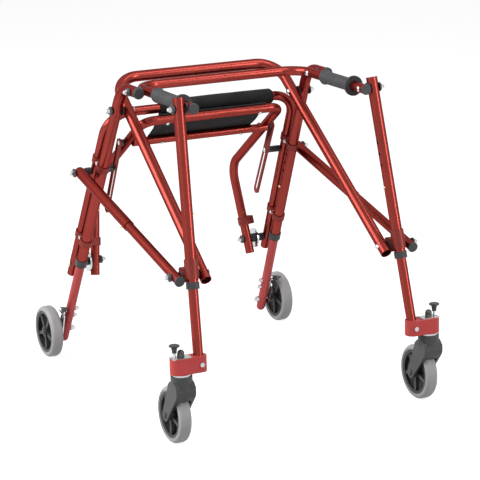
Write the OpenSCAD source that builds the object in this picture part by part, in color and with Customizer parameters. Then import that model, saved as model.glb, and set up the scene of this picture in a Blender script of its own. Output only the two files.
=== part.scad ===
// Posterior walker: a folding aluminium frame that stands behind and beside the
// user, with swivel casters in front, one-way wheels behind and a flip-up sling seat.
// Millimetres. +Z is up, the user faces -Y and +X is the user's left.
// The origin is on the floor, at the middle of the plan.

/* [Tubes] */
// Outside diameter of the legs, the cross frame and the brace sleeves
tube_d = 25.4; // [24:0.1:28]
// Wall of those tubes
tube_wall = 1.25; // [1:0.05:1.6]
// Radial slip between a telescoping tube and its sleeve
slip = 0.35; // [0.3:0.05:0.6]
// Outside diameter of the handlebar
handle_d = 22.2; // [20:0.1:25]
// Outside diameter of the back bar and the seat tubes
seat_d = 22.2; // [20:0.1:24]
// Wall of the telescoping, handlebar, back bar and seat tubes
thin_wall = 1.6; // [1.2:0.1:2.2]
// Spacing of the adjustment holes
hole_pitch = 25.4; // [24:0.1:27]
// Diameter of an adjustment hole
hole_d = 7.4; // [7:0.1:8]
// Steps of leg height adjustment above the set one
hole_steps = 4; // [2:1:4]

/* [Side frames] */
// Height of the handlebar above the floor
handle_z = 720; // [700:1:740]
// Half distance between the leg tubes at handlebar height
leg_x0 = 240; // [236:1:260]
// Outward splay of the legs
splay = 2.9; // [2:0.1:3.5]
// Forward lean of the front legs
front_lean = 13.2; // [12:0.1:14.5]
// Rearward lean of the rear legs
rear_lean = 27.23; // [26:0.05:28.5]
// Front leg pivot on the handlebar, from the origin
p2_y = -285; // [-300:1:-270]
// Handlebar pivot on the rear leg, from the origin
p1_y = -39; // [-45:1:-36]
// Cross frame pivot on the rear leg, from the origin
p5_y = 61; // [55:1:67]
// Height of the cross frame pivot
p5_z = 661; // [655:1:668]
// Rear wheel knee pivot of the front leg, from the origin
p3_y = -350; // [-351:1:-346]
// Height of the knee pivot
p3_z = 367; // [360:1:374]
// Height of the front leg top above the handlebar
leg_rise = 23; // [18:1:30]
// Bend radius of the rear leg
rear_bend = 70; // [55:1:80]

/* [Handlebar] */
// Half distance between the handle arms
handle_x = 212.5; // [208:0.5:212.5]
// Rear cross part of the handlebar, from the origin
handle_back = 18; // [15:1:26]
// Bend radius of the handlebar
handle_bend = 52; // [40:1:52]
// Length of a hand grip
grip_len = 140; // [120:1:150]
// Diameter of a hand grip
grip_d = 30; // [28:0.5:34]
// Diameter of the hand stop disc
disc_d = 46; // [40:1:50]

/* [Cross frame] */
// Top bar of the cross frame, from the origin
cross_back = 144; // [130:1:150]
// Half width of the cross frame at its top bar
cross_x = 213; // [211:0.5:213.5]
// Half width of the cross frame at its lower ends
cross_low_x = 224.5; // [222:0.5:226]
// Bend radius of the cross frame
cross_bend = 60; // [50:1:70]
// Length of tube past the knee pivot
cross_tail = 22; // [16:1:28]

/* [Braces] */
// Half distance between the side braces
brace_x = 290; // [288:0.5:296]
// Height of the brace pivot on the back bar
p6_z = 497; // [490:1:504]
// Length of the brace sleeve past its pivot
sleeve_len = 298; // [285:1:305]
// Length of the brace past the knee pivot
brace_tail = 22; // [16:1:26]

/* [Back bar and pad] */
// Distance of the back bar legs behind the rear legs, level
back_gap = 41; // [40:0.5:46]
// Height of the back bar
back_z = 645; // [640:1:652]
// Height of the lower ends of the back bar
back_low_z = 213; // [205:1:220]
// Bend radius of the back bar
back_bend = 62; // [50:1:70]
// Length of the back pad
pad_len = 296; // [200:1:300]
// Sideways offset of the back pad
pad_shift = 33; // [-30:1:33]
// Diameter of the back pad
pad_d = 39; // [34:0.5:42]

/* [Seat] */
// Half width of the seat frame at its front tube
seat_x = 178; // [174:0.5:178.5]
// Front tube of the stowed seat, from the origin
seat_top_y = 57; // [54:1:60]
// Height of the front tube of the stowed seat
seat_top_z = 628; // [624:1:630]
// Half width of the seat frame at the arm bends
seat_mid_x = 186.5; // [184:0.5:187]
// Arm bend of the stowed seat, from the origin
seat_mid_y = 353; // [345:1:360]
// Height of the arm bend
seat_mid_z = 430; // [424:1:436]
// Half width of the seat frame at its lower ends
seat_low_x = 208.5; // [206:0.5:209]
// Height of the seat hinge
seat_hinge_z = 242.5; // [236:0.5:248]
// Length of arm below the seat hinge
seat_tail = 37; // [28:1:44]
// Distance between the two sling tubes
sling_span = 96; // [88:1:100]
// Thickness of the sling cloth
sling_t = 2.2; // [1.5:0.1:3]
// Length of the slotted seat strut below its pivot
strut_len = 210; // [200:1:215]
// Width of the seat strut
strut_w = 21; // [19:0.5:24]
// Travel of the slot pin
slot_run = 118; // [110:1:118]

/* [Wheels] */
// Diameter of all four wheels
wheel_d = 127; // [124:0.5:128]
// Width of the tyres
tyre_w = 30; // [26:0.5:31]
// Height of the tyre section
tyre_h = 11.5; // [9:0.5:14]
// Half track of the rear wheels
rear_track = 317.5; // [315:0.5:325]
// Caster trail behind the swivel axis
trail = 42; // [38:0.5:46]
// Half track of the caster swivels
caster_track = 309; // [308:0.5:314]
// Diameter of the caster fork crown
crown_d = 48; // [46:0.5:50]
// Spokes of a wheel hub
spokes = 5; // [3:1:7]

/* [Caster bracket] */
// Length of the bracket block
block_len = 85; // [82:0.5:92]
// Thickness of the bracket block, front to back
block_w = 35; // [33:0.5:38]
// Height of the bracket block
block_h = 35; // [32:0.5:36]
// Height of the bracket above the floor
block_z = 168; // [167:0.5:170]

/* [Fasteners] */
// Diameter of the pivot bolts
bolt_d = 6; // [5:0.1:6.4]
// Radial play of a pivot bolt
bolt_play = 0.2; // [0.15:0.05:0.3]
// Width across the corners of the domed nuts
nut_w = 12.7; // [11:0.1:14]
// Gap between a fixed piece and its seat
seat_gap = 0.1; // [0.05:0.05:0.2]
// Gap between pieces that move past each other
run_gap = 0.3; // [0.3:0.05:0.5]
// Gap under a flat washer on a splayed tube
tilt_gap = 0.7; // [0.6:0.05:0.9]

/* [Hidden] */
$fn = 48;

red = [0.62, 0.10, 0.09];
satin_red = [0.70, 0.20, 0.18];
dark = [0.22, 0.22, 0.23];
black = [0.08, 0.08, 0.09];
zinc = [0.78, 0.79, 0.80];
brass = [0.80, 0.66, 0.36];
tyre_grey = [0.64, 0.63, 0.64];

splay_t = tan(splay);
front_t = tan(front_lean);
rear_t = tan(rear_lean);
tube_r = tube_d / 2;
bore_d = tube_d - 2 * tube_wall;
inner_d = bore_d - 2 * slip;
inner_r = inner_d / 2;
handle_r = handle_d / 2;
seat_r = seat_d / 2;
bolt_hole = bolt_d + 2 * bolt_play;
wheel_r = wheel_d / 2;
rim_r = wheel_r - tyre_h;

// Axis points of the right side tubes at a given height
function leg_x(z) = leg_x0 + (handle_z - z) * splay_t;
function front_leg_at(z) = [leg_x(z), p2_y - (handle_z - z) * front_t, z];
function rear_leg_at(z) = [leg_x(z), p5_y + (p5_z - z) * rear_t, z];
function back_leg_at(z) = rear_leg_at(z) + [0, back_gap, 0];
function unit(v) = v / norm(v);
function left(p) = [-p.x, p.y, p.z];

front_up = unit(front_leg_at(1) - front_leg_at(0));
rear_up = unit(rear_leg_at(1) - rear_leg_at(0));

// Pivots of the fold, in the YZ plane
p6_y = back_leg_at(p6_z).y;
hinge_y = back_leg_at(seat_hinge_z).y;
diag_dir = unit([0, p3_y - p5_y, p3_z - p5_z]);
diag_slope = (p5_z - p3_z) / (p5_y - p3_y);
cross_top_z = p5_z + (cross_back - p5_y) * diag_slope;
cross_low = [cross_low_x, p3_y + cross_tail * diag_dir.y, p3_z + cross_tail * diag_dir.z];
function diag_x(y) = cross_x + (cross_low_x - cross_x) * (cross_back - y) / (cross_back - cross_low.y);
brace_dir = unit([0, p3_y - p6_y, p3_z - p6_z]);
brace_len = norm([p3_y - p6_y, p3_z - p6_z]);
brace_down = [0, -brace_dir.z, brace_dir.y];
brace_press = unit([cos(50), sin(50) * brace_down.y, sin(50) * brace_down.z]);

// Heights along the legs
front_end_z = 351;
front_top_z = handle_z + leg_rise;
front_button_z = 499;
inner_top_z = front_button_z + 31;
rear_end_z = 256;
rear_button_z = 398;
rear_inner_top_z = rear_button_z + 28;
axle_z = wheel_r;
rear_axle_y = rear_leg_at(axle_z).y;
pin_hi_z = axle_z + 57.5;
pin_lo_z = axle_z + 37.5;
block_top = block_z + block_h;
stem_y = front_leg_at(block_z + block_h / 2).y;
block_x = front_leg_at(block_z + block_h / 2).x - 17.5;
knob_x = block_x + block_len - 10.5;
fork_top = block_z - 4.5;
caster_y = stem_y + trail;
rear_corner = [leg_x0, p5_y + (p5_z - handle_z) * rear_t, handle_z];
rear_tip_y = p1_y - 25;

// Seat points
seat_top = [seat_x, seat_top_y, seat_top_z];
seat_mid = [seat_mid_x, seat_mid_y, seat_mid_z];
seat_low_dir = unit([seat_low_x - seat_mid_x, hinge_y - seat_mid_y, seat_hinge_z - seat_mid_z]);
seat_low = [seat_low_x, hinge_y, seat_hinge_z] + seat_tail * seat_low_dir;
// Strut pivot: on the arm, in line with the seat hinge and the slot pin
hinge_up = unit([0, p6_y - hinge_y, p6_z - seat_hinge_z]);
arm_slope = (seat_mid_z - seat_top_z) / (seat_mid_y - seat_top_y);
strut_t = (seat_top_z - seat_hinge_z + arm_slope * (hinge_y - seat_top_y))
  / (hinge_up.z - arm_slope * hinge_up.y);
p7_y = hinge_y + strut_t * hinge_up.y;
p7_z = seat_hinge_z + strut_t * hinge_up.z;
p7_x = seat_x + (seat_mid_x - seat_x) * (p7_y - seat_top_y) / (seat_mid_y - seat_top_y);
// the seat and its struts swing inside the cross frame, folded or open
strut_out = diag_x(p5_y - 110) - tube_r - 0.6;
strut_in = strut_out - 5;
strut_floor = 1.8;
// Rear sling tube: below the arms, square to the sling
sling_dir = unit([0, 74, -62]);
sling_up = [0, -sling_dir.z, sling_dir.y];
sling_low = [0, seat_top_y, seat_top_z] + sling_span * sling_dir;

// Frame at p whose local X runs along ex and local Z along ez
module basis(p, ex, ez) {
  ey = cross(ez, ex);
  multmatrix([[ex.x, ey.x, ez.x, p.x], [ex.y, ey.y, ez.y, p.y], [ex.z, ey.z, ez.z, p.z], [0, 0, 0, 1]])
    children();
}
// Round bar from p to q; spin turns where the bar's seam line runs
module rod(p, q, d, spin = 0) {
  v = q - p;
  translate(p) rotate([0, acos(v.z / norm(v)), atan2(v.y, v.x)]) rotate([0, 0, spin])
    cylinder(d = d, h = norm(v));
}
// Quarter-like bend from the leg a-b into the leg b-c
module elbow(a, b, c, r, d) {
  u = unit(b - a);
  v = unit(c - b);
  turn = acos(u * v);
  n = unit(cross(u, v));
  m = cross(n, u);
  centre = b - u * r * tan(turn / 2) + m * r;
  multmatrix([[-m.x, u.x, n.x, centre.x], [-m.y, u.y, n.y, centre.y],
    [-m.z, u.z, n.z, centre.z], [0, 0, 0, 1]])
    rotate_extrude(angle = turn) translate([r, 0]) circle(d = d);
}
function cut_back(p, i, r) = (i == 0 || i == len(p) - 1) ? 0
  : r[i] * tan(acos(unit(p[i] - p[i - 1]) * unit(p[i + 1] - p[i])) / 2);
// A bend is swollen by a hair, and the straights run a little way into it
bend_swell = 0.06;
bend_lap = 1;
// Bar bent along the points p, with the bend radius r[i] at point i, run on past both ends by over
module bent(p, r, d, over = 0) {
  last = len(p) - 1;
  for (i = [0 : last - 1]) {
    u = unit(p[i + 1] - p[i]);
    a = p[i] + u * (i == 0 ? -over : cut_back(p, i, r) - bend_lap);
    b = p[i + 1] - u * (i == last - 1 ? -over : cut_back(p, i + 1, r) - bend_lap);
    rod(a, b, d);
  }
  for (i = [1 : last - 1]) elbow(p[i - 1], p[i], p[i + 1], r[i], d + 2 * bend_swell);
}
// Open bent tube
module bent_tube(p, r, d, wall) {
  difference() {
    bent(p, r, d);
    bent(p, r, d - 2 * wall, 1);
  }
}
// Right hand piece, or its mirror image on the left
module side(s) {
  if (s > 0) children();
  else mirror([1, 0, 0]) children();
}
module both() {
  children();
  mirror([1, 0, 0]) children();
}
// Drill along X at a point of the YZ plane
module drill(y, z, d, x0, x1) {
  translate([x0, y, z]) rotate([0, 90, 0]) cylinder(d = d, h = x1 - x0);
}
// Ring along X
module ring(y, z, x0, x1, d, hole) {
  translate([x0, y, z]) rotate([0, 90, 0]) difference() {
    cylinder(d = d, h = x1 - x0);
    translate([0, 0, -1]) cylinder(d = hole, h = x1 - x0 + 2);
  }
}
// Domed nut on X, from x0 towards the direction s
module acorn(y, z, x0, s = 1, w = nut_w) {
  translate([x0, y, z]) rotate([0, 90 * s, 0]) {
    cylinder(d = w, h = 0.45 * w, $fn = 6);
    translate([0, 0, 0.45 * w]) cylinder(d1 = 0.82 * w, d2 = 0.74 * w, h = 0.14 * w);
    translate([0, 0, 0.55 * w]) sphere(d = 0.76 * w);
  }
}
// Low round bolt head on X, from x0 towards the direction s
module bolt_head(y, z, x0, s = -1, d = 12) {
  translate([x0, y, z]) rotate([0, 90 * s, 0]) {
    cylinder(d = d, h = 1.4);
    translate([0, 0, 1.4]) cylinder(d1 = d, d2 = 0.6 * d, h = 2.2);
  }
}
// Round ends stand a hair proud of the straight edges that run into them
end_swell = 0.08;
// Round ends of slots and blocks meet the sides at a slight corner
end_crown = 0.4;
function arc_points(c, r, a0, a1, n) =
  [for (i = [0 : n]) c + r * [cos(a0 + (a1 - a0) * i / n), sin(a0 + (a1 - a0) * i / n)]];
// Plate outline round two circles
module link2d(c1, r1, c2, r2) {
  d = norm(c2 - c1);
  a = atan2(c2.y - c1.y, c2.x - c1.x);
  b = acos((r1 - r2) / d);
  translate(c1) circle(r = r1 + end_swell);
  translate(c2) circle(r = r2 + end_swell);
  polygon([c1 + r1 * [cos(a - b), sin(a - b)], c2 + r2 * [cos(a - b), sin(a - b)],
    c2 + r2 * [cos(a + b), sin(a + b)], c1 + r1 * [cos(a + b), sin(a + b)]]);
}
// Extrude a YZ outline along X
module plate_x(x0, x1) {
  translate([x0, 0, 0]) multmatrix([[0, 0, 1, 0], [1, 0, 0, 0], [0, 1, 0, 0], [0, 0, 0, 1]])
    linear_extrude(x1 - x0) children();
}

// Rear legs
module rear_leg() {
  p = [[leg_x0, rear_tip_y, handle_z], rear_corner, rear_leg_at(rear_end_z)];
  color(red) difference() {
    bent(p, [0, rear_bend, 0], tube_d);
    bent(p, [0, rear_bend, 0], bore_d, 1);
    drill(p1_y, handle_z, bolt_hole, leg_x0 - 30, leg_x0 + 30);
    drill(p5_y, p5_z, bolt_hole, leg_x(p5_z) - 30, leg_x(p5_z) + 30);
    for (k = [0 : hole_steps]) {
      q = rear_leg_at(rear_button_z) + k * hole_pitch * rear_up;
      drill(q.y, q.z, hole_d, q.x - 30, q.x);
    }
  }
}
module rear_leg_l() side(-1) rear_leg();
module rear_leg_r() side(1) rear_leg();

// Lower rear legs, with a domed end that carries the axle
module rear_inner() {
  top = rear_leg_at(rear_inner_top_z);
  low = rear_leg_at(axle_z - 24);
  color(red) difference() {
    union() {
      rod(low, top, inner_d);
      translate(low) sphere(d = inner_d);
    }
    rod(low + 6 * rear_up, top + rear_up, inner_d - 2 * thin_wall);
    for (z = [axle_z, pin_lo_z, pin_hi_z])
      drill(rear_leg_at(z).y, z, z == axle_z ? bolt_d + 2 + 2 * bolt_play : bolt_hole,
        leg_x(z) - 20, leg_x(z) + 20);
    for (k = [0 : hole_steps]) {
      q = rear_leg_at(rear_button_z) - k * hole_pitch * rear_up;
      drill(q.y, q.z, hole_d + 0.4, q.x - 20, q.x);
    }
  }
}
module rear_inner_l() side(-1) rear_inner();
module rear_inner_r() side(1) rear_inner();

// Back bar: an inverted U behind the rear legs
back_pts = [left(back_leg_at(back_low_z)), left(back_leg_at(back_z)),
  back_leg_at(back_z), back_leg_at(back_low_z)];
module back_bar() {
  color(red) difference() {
    bent_tube(back_pts, [0, back_bend, back_bend, 0], seat_d, thin_wall);
    both() {
      drill(p6_y, p6_z, bolt_hole, leg_x(p6_z) - 20, leg_x(p6_z) + 20);
      drill(hinge_y, seat_hinge_z, bolt_hole, leg_x(seat_hinge_z) - 20, leg_x(seat_hinge_z) + 20);
      for (k = [1 : 5]) {
        q = back_leg_at(p6_z) + k * 0.55 * hole_pitch * rear_up;
        drill(q.y, q.z, bolt_d, q.x - 20, q.x);
        w = back_leg_at(seat_hinge_z) + (k + 1) * hole_pitch * rear_up;
        drill(w.y, w.z, bolt_d, w.x - 20, w.x);
      }
    }
  }
}
// Foam sleeve on the back bar: a crowned roll with drawn-in ends
module back_pad() {
  r = pad_d / 2;
  bore = seat_d + 2 * seat_gap;
  color(black) translate([pad_shift - pad_len / 2, back_leg_at(back_z).y, back_z]) rotate([0, 90, 0])
    difference() {
      union() {
        translate([0, 0, 7]) cylinder(r1 = r - 0.8, r2 = r, h = pad_len / 2 - 7);
        translate([0, 0, pad_len / 2]) cylinder(r1 = r, r2 = r - 0.8, h = pad_len / 2 - 7);
        for (e = [0, 1]) translate([0, 0, e * pad_len]) mirror([0, 0, e])
          rotate_extrude() {
            square([r - 7.8, 7]);
            intersection() {
              translate([r - 7.8, 7]) circle(r = 7);
              translate([r - 7.8, 0]) square([7, 7]);
            }
          }
      }
      translate([0, 0, -1]) cylinder(d = bore, h = pad_len + 2);
    }
}
// Figure-eight clamps that tie the back bar to the rear legs
clamp_up_z = 512;
clamp_low_z = 311;
clamp_h = 16;
off_y = back_gap * (1 - rear_up.y * rear_up.y);
clamp_vec = [0, back_gap, 0] - back_gap * rear_up.y * rear_up;
clamp_pitch = norm(clamp_vec);
clamp_mid = (tube_r + clamp_pitch - seat_r) / 2;
module clamp_at(z) {
  basis(rear_leg_at(z), unit(clamp_vec), rear_up) difference() {
    translate([0, 0, -clamp_h / 2]) linear_extrude(clamp_h) difference() {
      union() {
        circle(r = tube_r + 2.6);
        translate([clamp_pitch, 0]) circle(r = seat_r + 2.6);
        translate([0, -7.5]) square([clamp_pitch, 15]);
      }
      circle(r = tube_r + seat_gap);
      translate([clamp_pitch, 0]) circle(r = seat_r + seat_gap);
    }
    translate([clamp_mid, 0, 0]) rotate([90, 0, 0]) cylinder(d = 5.2, h = 60, center = true);
  }
}
module tube_clamps() color(satin_red) both() {
  clamp_at(clamp_up_z);
  clamp_at(clamp_low_z);
}
// Clamp screw with its domed nut outside
module clamp_bolt(z) {
  basis(rear_leg_at(z), unit(clamp_vec), rear_up) translate([clamp_mid, 0, 0]) rotate([90, 0, 0]) {
    translate([0, 0, -8]) cylinder(d = 5, h = 16);
    translate([0, 0, 7.6]) cylinder(d = 9.5, h = 3.4);
    translate([0, 0, -12.2]) cylinder(d = 10.4, h = 4.6, $fn = 6);
    translate([0, 0, -12.4]) sphere(d = 8);
  }
}

// Black plastic on the rear frame: tip caps, height collars and pivot spacers
sp1_in = handle_x + handle_r + run_gap;
sp1_out = leg_x0 - tube_r - seat_gap;
sp5_in = diag_x(p5_y) + tube_r + run_gap + 0.1;
sp5_out = leg_x(p5_z) - tube_r - tilt_gap;
sp6_in = leg_x(p6_z) + seat_r + tilt_gap;
sp6_out = brace_x - tube_r - run_gap;
seat_arm_x = seat_low_x;
// the lower arm leans, so its washers stand a little off
arm_gap = 1.4;
module collar_at(p, up, drop, rise) {
  difference() {
    rod(p - drop * up, p + rise * up, tube_d + 4.2);
    rod(p - seat_gap * up, p + (rise + 1) * up, tube_d + 2 * seat_gap);
    rod(p - (drop + 1) * up, p + up, inner_d + 2 * slip);
  }
}
module rear_plastics() color(dark) both() {
  // tip cap on the forward end of the leg
  translate([leg_x0, rear_tip_y, handle_z]) rotate([90, 0, 0]) {
    translate([0, 0, seat_gap]) cylinder(d = tube_d + 2.4, h = 3);
    translate([0, 0, 3 + seat_gap]) cylinder(d1 = tube_d + 2.4, d2 = tube_d - 4, h = 3);
    translate([0, 0, -9]) cylinder(d = bore_d - 2 * seat_gap, h = 9 + 2 * seat_gap);
  }
  collar_at(rear_leg_at(rear_end_z), rear_up, 10, 9);
  ring(p1_y, handle_z, sp1_in, sp1_out, 21, bolt_hole);
  ring(p1_y, handle_z, leg_x0 + tube_r + seat_gap, leg_x0 + tube_r + 2.6, 19, bolt_hole);
  ring(p5_y, p5_z, sp5_in, sp5_out, 23, bolt_hole);
  ring(p5_y, p5_z, leg_x(p5_z) + tube_r + tilt_gap, leg_x(p5_z) + tube_r + 3.6, 21, bolt_hole);
  ring(p6_y, p6_z, sp6_in, sp6_out, 19, bolt_hole);
  ring(p6_y, p6_z, brace_x + tube_r + run_gap, brace_x + tube_r + 3.3, 21, bolt_hole);
  ring(hinge_y, seat_hinge_z, seat_arm_x - seat_r - arm_gap - 4.3, seat_arm_x - seat_r - arm_gap - 0.3,
    20, bolt_hole);
  ring(hinge_y, seat_hinge_z, seat_arm_x + seat_r + arm_gap + 0.3, seat_arm_x + seat_r + 6.4, 22, bolt_hole);
  ring(hinge_y, seat_hinge_z, seat_arm_x + seat_r + 10.6, leg_x(seat_hinge_z) - seat_r - tilt_gap,
    20, bolt_hole);
}
// Bolts and nuts on the rear frame, with the seat hinge discs
module rear_bolts() color(zinc) both() {
  // handlebar pivot
  drill(p1_y, handle_z, bolt_d, handle_x - handle_r - run_gap - 1, leg_x0 + tube_r + 6);
  bolt_head(p1_y, handle_z, handle_x - handle_r - run_gap);
  acorn(p1_y, handle_z, leg_x0 + tube_r + 2.7);
  // cross frame pivot
  drill(p5_y, p5_z, bolt_d, diag_x(p5_y) - tube_r - run_gap - 1.2, leg_x(p5_z) + tube_r + 7);
  bolt_head(p5_y, p5_z, diag_x(p5_y) - tube_r - run_gap - 0.2);
  acorn(p5_y, p5_z, leg_x(p5_z) + tube_r + 3.7);
  // brace pivot
  drill(p6_y, p6_z, bolt_d, leg_x(p6_z) - seat_r - 1.2, brace_x + tube_r + 7);
  translate([leg_x(p6_z) - seat_r - 1.7, p6_y, p6_z]) rotate([0, 90, 0]) cylinder(d = 11, h = 1.3);
  acorn(p6_y, p6_z, brace_x + tube_r + 3.4);
  // seat hinge
  drill(hinge_y, seat_hinge_z, bolt_d, seat_arm_x - seat_r - 8, leg_x(seat_hinge_z) + seat_r + 2);
  acorn(hinge_y, seat_hinge_z, seat_arm_x - seat_r - arm_gap - 4.4, -1);
  ring(hinge_y, seat_hinge_z, seat_arm_x + seat_r + 6.5, seat_arm_x + seat_r + 10.5, 50, bolt_hole);
  bolt_head(hinge_y, seat_hinge_z, leg_x(seat_hinge_z) + seat_r + tilt_gap, 1);
  clamp_bolt(clamp_up_z);
  clamp_bolt(clamp_low_z);
}

// Snap button: a domed brass pin on X that sits in the tube wall, facing -X
module snap_button(p) {
  color(brass) translate(p) rotate([0, -90, 0]) {
    translate([0, 0, bore_d / 2 + 0.1]) cylinder(d = hole_d - 0.9, h = tube_wall + 1.2);
    translate([0, 0, tube_r + 1.2]) intersection() {
      translate([0, 0, -0.2]) scale(1) sphere(d = hole_d - 0.9);
      cylinder(d = hole_d, h = hole_d);
    }
  }
}
module rear_button_l() side(-1) snap_button(rear_leg_at(rear_button_z));
module rear_button_r() side(1) snap_button(rear_leg_at(rear_button_z));
module front_button_l() side(-1) snap_button(front_leg_at(front_button_z));
module front_button_r() side(1) snap_button(front_leg_at(front_button_z));

// Cross frame: one bent tube from knee to knee over the back
cross_pts = [left(cross_low), [-cross_x, cross_back, cross_top_z],
  [cross_x, cross_back, cross_top_z], cross_low];
module cross_frame() color(red) difference() {
  bent_tube(cross_pts, [0, cross_bend, cross_bend, 0], tube_d, tube_wall + 0.25);
  both() {
    drill(p5_y, p5_z, bolt_hole, diag_x(p5_y) - 30, diag_x(p5_y) + 30);
    drill(p3_y, p3_z, bolt_hole, diag_x(p3_y) - 30, diag_x(p3_y) + 30);
  }
}
knee_x = leg_x(p3_z);
lug_in = knee_x - 17;
lug_out = knee_x + 15.5;
// Knee bolts, carried by the cross frame
module cross_bolts() color(zinc) both() {
  drill(p3_y, p3_z, bolt_d, diag_x(p3_y) - tube_r - 1, lug_out + 1);
  bolt_head(p3_y, p3_z, diag_x(p3_y) - tube_r - 0.3);
  translate([lug_out + run_gap, p3_y, p3_z]) rotate([0, 90, 0]) cylinder(d = 11, h = 1.4);
  ring(p3_y, p3_z, diag_x(p3_y) + tube_r + 0.3, lug_in - run_gap, 21, bolt_hole);
}

// Handlebar: a level U open to the front
bar_tip_y = p2_y - 15;
bar_pts = [[-handle_x, bar_tip_y, handle_z], [-handle_x, handle_back, handle_z],
  [handle_x, handle_back, handle_z], [handle_x, bar_tip_y, handle_z]];
module handlebar() color(red) difference() {
  bent_tube(bar_pts, [0, handle_bend, handle_bend, 0], handle_d, thin_wall);
  both() {
    drill(p1_y, handle_z, bolt_hole, handle_x - 30, handle_x + 30);
    drill(p2_y, handle_z, bolt_hole, handle_x - 30, handle_x + 30);
  }
}
// Ribbed grip with a flared heel and a hand stop disc
disc_y = p2_y + 42;
module grip() {
  bore = handle_d + 2 * seat_gap;
  ribs = 14;
  step = (grip_len - 34) / ribs;
  color(dark) translate([handle_x, disc_y - 3, handle_z]) rotate([-90, 0, 0]) difference() {
    union() {
      translate([0, 0, 0.8]) cylinder(d = disc_d, h = 4.4);
      cylinder(d1 = disc_d - 1.6, d2 = disc_d, h = 0.8);
      translate([0, 0, 5.2]) cylinder(d1 = disc_d, d2 = disc_d - 1.6, h = 0.8);
      translate([0, 0, 6]) cylinder(d1 = grip_d + 5, d2 = grip_d - 1, h = 6);
      translate([0, 0, 12]) cylinder(d = grip_d - 1.4, h = grip_len - 30);
      for (k = [0 : ribs - 1]) translate([0, 0, 12 + k * step]) {
        cylinder(d1 = grip_d - 1.4, d2 = grip_d, h = 0.2 * step);
        translate([0, 0, 0.2 * step]) cylinder(d = grip_d, h = 0.5 * step);
        translate([0, 0, 0.7 * step]) cylinder(d1 = grip_d, d2 = grip_d - 1.4, h = 0.2 * step);
      }
      translate([0, 0, grip_len - 18]) cylinder(d1 = grip_d - 1.4, d2 = grip_d + 5, h = 12);
      translate([0, 0, grip_len - 6]) cylinder(d1 = grip_d + 5, d2 = grip_d + 1, h = 6);
    }
    translate([0, 0, -1]) cylinder(d = bore, h = grip_len + 2);
  }
}
module grip_l() side(-1) grip();
module grip_r() side(1) grip();
// Tip caps, heads and spacers at the front pivots of the handlebar
bar_spacer = leg_x0 - tube_r - 0.9;
module bar_ends() both() {
  color(dark) translate([handle_x, bar_tip_y, handle_z]) rotate([90, 0, 0]) {
    translate([0, 0, seat_gap]) cylinder(d = handle_d + 1.8, h = 3.4);
    translate([0, 0, 3.4 + seat_gap]) cylinder(d1 = handle_d + 1.8, d2 = handle_d - 2, h = 1.6);
    translate([0, 0, -8]) cylinder(d = handle_d - 2 * thin_wall - 2 * seat_gap, h = 8 + 2 * seat_gap);
  }
  color(dark) ring(p2_y, handle_z, handle_x + handle_r + seat_gap, bar_spacer, 24, bolt_hole);
  color(zinc) drill(p2_y, handle_z, bolt_d, handle_x - handle_r - 1, bar_spacer - 0.3);
  color(zinc) bolt_head(p2_y, handle_z, handle_x - handle_r - seat_gap);
}

// Front legs
module front_leg() {
  color(red) difference() {
    rod(front_leg_at(front_end_z), front_leg_at(front_top_z), tube_d);
    rod(front_leg_at(front_end_z - 2), front_leg_at(front_top_z - 3), bore_d);
    drill(p2_y, handle_z, bolt_hole, leg_x0 - 30, leg_x0 + 30);
    for (k = [0 : hole_steps]) {
      q = front_leg_at(front_button_z) + k * hole_pitch * front_up;
      drill(q.y, q.z, hole_d, q.x - 30, q.x);
    }
  }
}
module front_leg_l() side(-1) front_leg();
module front_leg_r() side(1) front_leg();
// Sleeve on the front leg with a lug behind it for the knee bolt
sleeve_lo = 362;
sleeve_hi = 404;
module knee_bracket() {
  lo = front_leg_at(sleeve_lo);
  hi = front_leg_at(sleeve_hi);
  axis_y = front_leg_at(p3_z).y;
  difference() {
    union() {
      rod(lo, hi, tube_d + 5.6, 180);
      plate_x(lug_in, lug_out) translate([axis_y, p3_z]) polygon(concat([[4, -12]],
        arc_points([30, -6], 6, -90, 0, 8), arc_points([30, 10], 6, 0, 90, 8), [[4, 16]]));
    }
    rod(front_leg_at(sleeve_lo - 20), front_leg_at(sleeve_hi + 20), tube_d + 2 * seat_gap);
    drill(p3_y, p3_z, bolt_hole, lug_in - 5, lug_out + 5);
  }
}
module knee_brackets() color(satin_red) both() knee_bracket();
module leg_collars() color(dark) both() collar_at(front_leg_at(front_end_z), front_up, 10.5, 4.5);
module leg_bolts() both() {
  color(zinc) drill(p2_y, handle_z, bolt_d, leg_x0 - tube_r + 0.6, leg_x0 + tube_r + 6);
  color(zinc) acorn(p2_y, handle_z, leg_x0 + tube_r + 4);
  color(dark) ring(p2_y, handle_z, leg_x0 + tube_r + tilt_gap, leg_x0 + tube_r + 3.9, 21, bolt_hole);
}
// Lower front legs
inner_low_z = block_z + 4;
module front_inner() {
  color(red) difference() {
    rod(front_leg_at(inner_low_z), front_leg_at(inner_top_z), inner_d);
    rod(front_leg_at(inner_low_z - 2), front_leg_at(inner_top_z + 2), inner_d - 2 * thin_wall);
    translate([leg_x(block_z + block_h / 2), stem_y, block_z + block_h / 2]) rotate([90, 0, 0])
      cylinder(d = 6.4, h = 60, center = true);
    for (k = [0 : hole_steps]) {
      q = front_leg_at(front_button_z) - k * hole_pitch * front_up;
      drill(q.y, q.z, hole_d + 0.4, q.x - 20, q.x);
    }
  }
}
module front_inner_l() side(-1) front_inner();
module front_inner_r() side(1) front_inner();

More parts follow.
